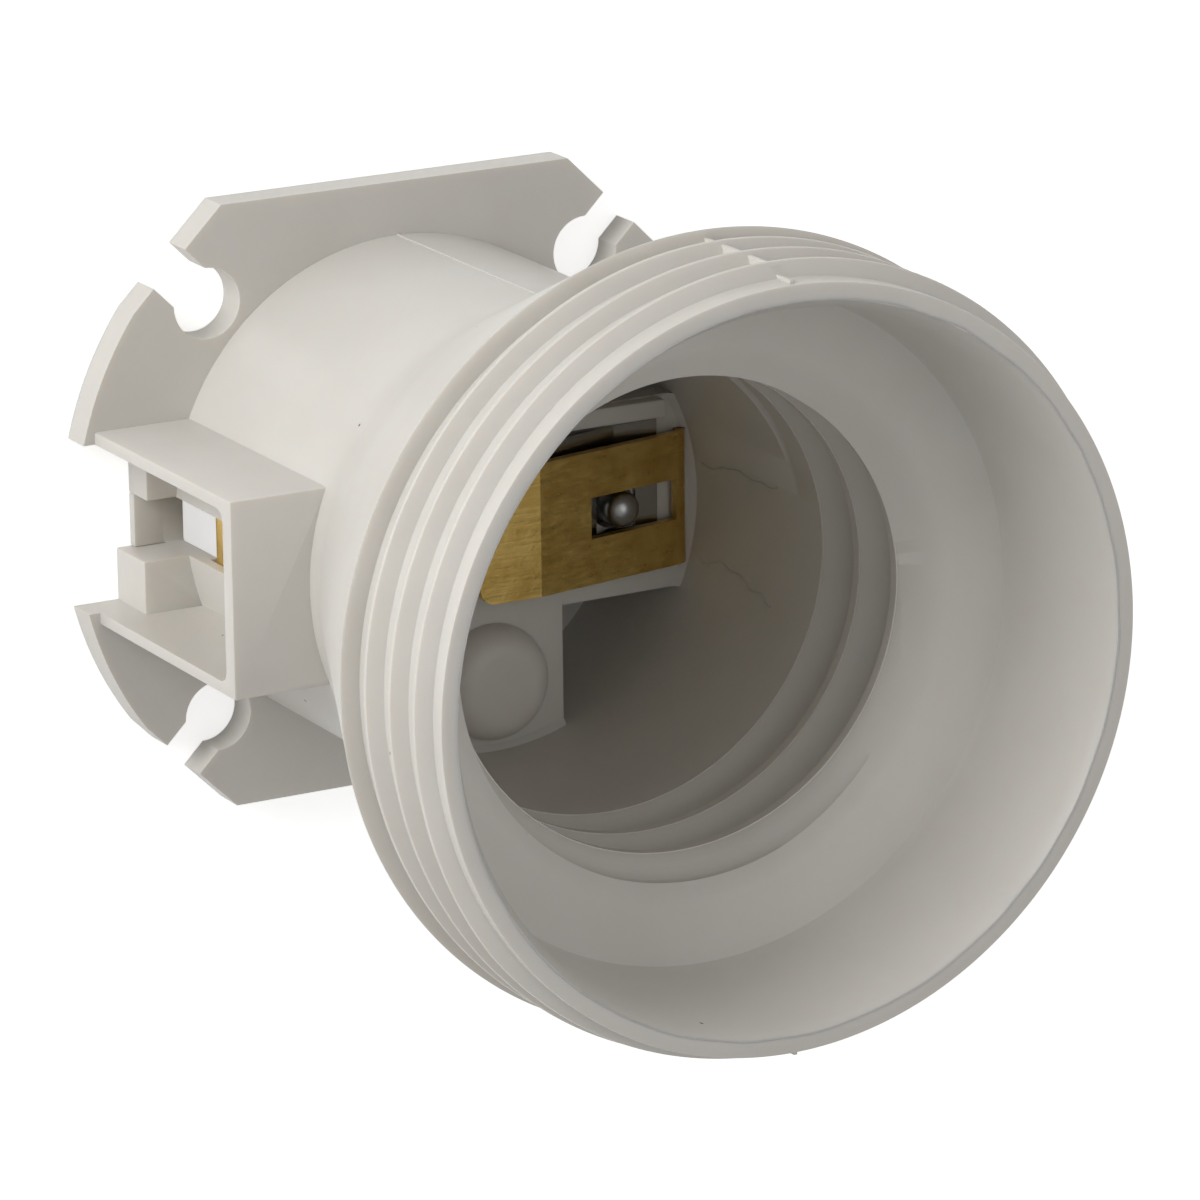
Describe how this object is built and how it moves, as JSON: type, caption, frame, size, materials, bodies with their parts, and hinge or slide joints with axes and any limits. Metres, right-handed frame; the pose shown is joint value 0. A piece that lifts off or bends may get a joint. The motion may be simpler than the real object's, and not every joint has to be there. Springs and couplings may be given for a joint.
{
  "type": "lamp holder",
  "caption": "One-piece moulded screw lamp holder: flared skirt threaded outside, flange with keyhole notches, side wire tunnels, brass contacts and screw terminals.",
  "frame": {"origin": "centre of the mounting flange's back face, on the lamp axis", "axes": "+Z along the lamp axis from the flange towards the mouth, +X towards the wire tunnel of the centre contact, +Y across the flats"},
  "size_m": [0.0404, 0.0404, 0.0428],
  "materials": {
    "moulding": "satin moulded thermoset, warm off-white",
    "contact_brass": "satin rolled brass strip",
    "spring_steel": "nickel-plated spring strip",
    "plated_steel": "nickel-plated steel"
  },
  "bodies": {
    "root": {"holder_body": "moulding", "centre_contact": "contact_brass", "side_contact": "contact_brass", "centre_spring": "spring_steel"},
    "centre_clamp": {"centre_clamp": "plated_steel"},
    "centre_screw": {"centre_screw": "plated_steel"},
    "side_clamp": {"side_clamp": "plated_steel"},
    "side_screw": {"side_screw": "plated_steel"}
  },
  "joints": [
    {"name": "centre_clamp_slide", "type": "slide", "parent": "root", "child": "centre_clamp", "axis": [0, 0, 1], "range_m": [-0.0008, 0.0011]},
    {"name": "centre_screw_turn", "type": "hinge", "parent": "centre_clamp", "child": "centre_screw", "pos_m": [0.00725, 0, 0], "axis": [0, 0, 1], "range_deg": [-580, 796]},
    {"name": "side_clamp_slide", "type": "slide", "parent": "root", "child": "side_clamp", "axis": [0, 0, 1], "range_m": [-0.0008, 0.0011]},
    {"name": "side_screw_turn", "type": "hinge", "parent": "side_clamp", "child": "side_screw", "pos_m": [-0.00725, 0, 0], "axis": [0, 0, 1], "range_deg": [-580, 796]}
  ],
  "couplings": [
    {"joint": "centre_screw_turn", "follows": "centre_clamp_slide", "rad_per_m": 12566},
    {"joint": "side_screw_turn", "follows": "side_clamp_slide", "rad_per_m": 12566}
  ]
}
